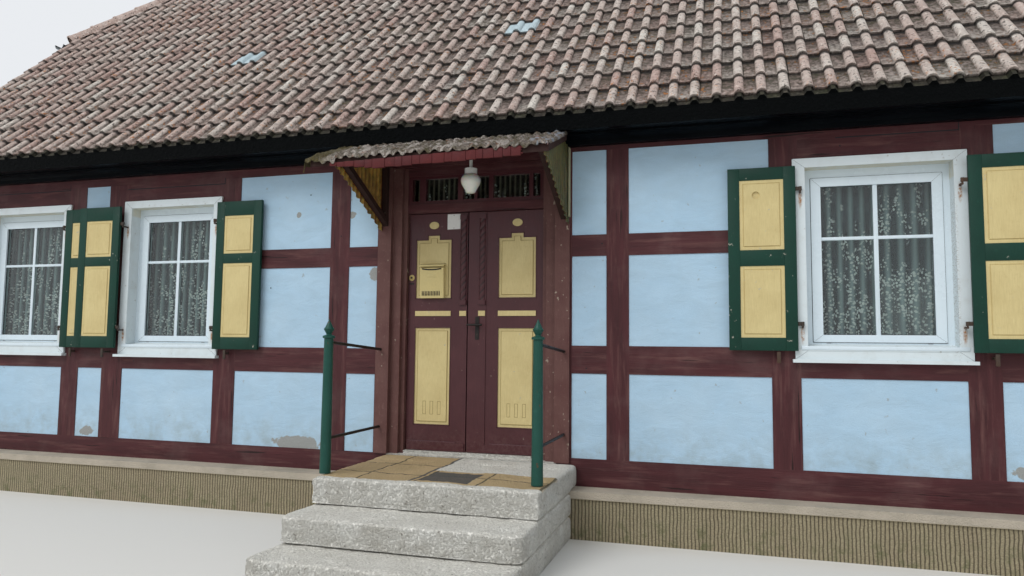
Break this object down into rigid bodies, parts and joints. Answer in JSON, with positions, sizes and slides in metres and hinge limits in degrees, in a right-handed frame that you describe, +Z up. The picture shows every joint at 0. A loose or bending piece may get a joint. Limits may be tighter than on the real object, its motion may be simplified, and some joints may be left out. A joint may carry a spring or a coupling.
{
  "type": "half timbered house",
  "caption": "Single-storey half-timbered cottage with plastered panels, tiled half-hip roof, folding-back window shutters, a panelled double front door under a small canopy, and stone steps.",
  "frame": {"origin": "on the ground, in the plane of the front wall's timbers, on the axis of the front door", "axes": "+X along the front to the right as seen from outside, +Y into the house, +Z up"},
  "size_m": [14.0064, 10.3826, 7.829],
  "materials": {
    "timber": "oxblood limewashed oak",
    "plaster": "smooth lime plaster, bluish white",
    "scored_render": "comb-scored render",
    "floor_boards": "worn boards",
    "roof_tiles": "weathered clay pantiles",
    "zinc": "pale grey sheet",
    "cornice_paint": "blue-black painted wood",
    "white_paint": "white painted wood",
    "white_plastic": "white window profile",
    "glass": "clear",
    "shutter_paint": "green painted wood, yellow panels",
    "iron": "black forged iron",
    "door_paint": "oxblood painted wood",
    "yellow_paint": "straw yellow paint",
    "cream_enamel": "cream enamel",
    "plate_enamel": "white enamel",
    "canopy_timber": "red-brown stained wood",
    "corrugated_plastic": "weathered yellow-green sheet",
    "opal_glass": "opal",
    "lamp_metal": "dark enamel",
    "stone": "worn grey stone",
    "green_iron": "green enamel"
  },
  "bodies": {
    "house": {"back_beams": "timber", "back_panels": "plaster", "back_plinth": "scored_render", "back_posts": "timber", "back_rails": "timber", "canopy_brackets": "canopy_timber", "canopy_fascia": "canopy_timber", "canopy_roof": "roof_tiles", "canopy_side_sheets": "corrugated_plastic", "ceiling_beams": "timber", "door_jambs": "door_paint", "door_threshold": "door_paint", "door_transom": "door_paint", "eaves_cornices": "cornice_paint", "fanlight_frame": "door_paint", "front_panels": "plaster", "front_plinth": "scored_render", "front_posts": "timber", "front_rails": "timber", "front_sill_beams": "timber", "front_wall_plate": "timber", "gable_beams": "timber", "gable_panels": "plaster", "gable_posts": "timber", "gable_rails": "timber", "ground_floor": "floor_boards", "half_hip_gutters": "zinc", "hinge_pins": "iron", "hip_caps": "roof_tiles", "lamp_collar": "lamp_metal", "lamp_globe": "opal_glass", "landing": "stone", "lower_step": "stone", "outer_shutters": "shutter_paint", "rafters_back": "timber", "rafters_front": "timber", "railing_bars": "iron", "railing_posts": "green_iron", "ridge_cap": "roof_tiles", "roof_back_slope": "roof_tiles", "roof_front_slope": "roof_tiles", "roof_half_hips": "roof_tiles", "side_plinths": "scored_render", "upper_step": "stone", "window_casings": "white_paint", "window_frames": "white_plastic", "window_ledges": "white_paint", "window_panes": "glass"},
    "door_left": {"door_leaf_left": "door_paint", "door_panels_left": "yellow_paint", "letter_box": "cream_enamel", "number_plate": "plate_enamel"},
    "door_right": {"door_leaf_right": "door_paint", "door_panels_right": "yellow_paint", "door_handle": "iron"},
    "shutter_2_left": {"shutter_2_left": "shutter_paint"},
    "shutter_2_right": {"shutter_2_right": "shutter_paint"},
    "shutter_3_left": {"shutter_3_left": "shutter_paint"},
    "shutter_3_right": {"shutter_3_right": "shutter_paint"}
  },
  "joints": [
    {"name": "door_left_hinge", "type": "hinge", "parent": "house", "child": "door_left", "pos_m": [-0.625, 0.165, 0.9], "axis": [0, 0, 1], "range_deg": [0, 90]},
    {"name": "door_right_hinge", "type": "hinge", "parent": "house", "child": "door_right", "pos_m": [0.625, 0.165, 0.9], "axis": [0, 0, -1], "range_deg": [0, 90]},
    {"name": "shutter_2_left_hinge", "type": "hinge", "parent": "house", "child": "shutter_2_left", "pos_m": [-3.679, -0.085, 1.7], "axis": [0, 0, 1], "range_deg": [0, 180]},
    {"name": "shutter_2_right_hinge", "type": "hinge", "parent": "house", "child": "shutter_2_right", "pos_m": [-2.623, -0.045, 1.7], "axis": [0, 0, -1], "range_deg": [0, 180]},
    {"name": "shutter_3_left_hinge", "type": "hinge", "parent": "house", "child": "shutter_3_left", "pos_m": [2.686, -0.045, 1.7], "axis": [0, 0, 1], "range_deg": [0, 180]},
    {"name": "shutter_3_right_hinge", "type": "hinge", "parent": "house", "child": "shutter_3_right", "pos_m": [3.775, -0.085, 1.7], "axis": [0, 0, -1], "range_deg": [0, 180]}
  ]
}
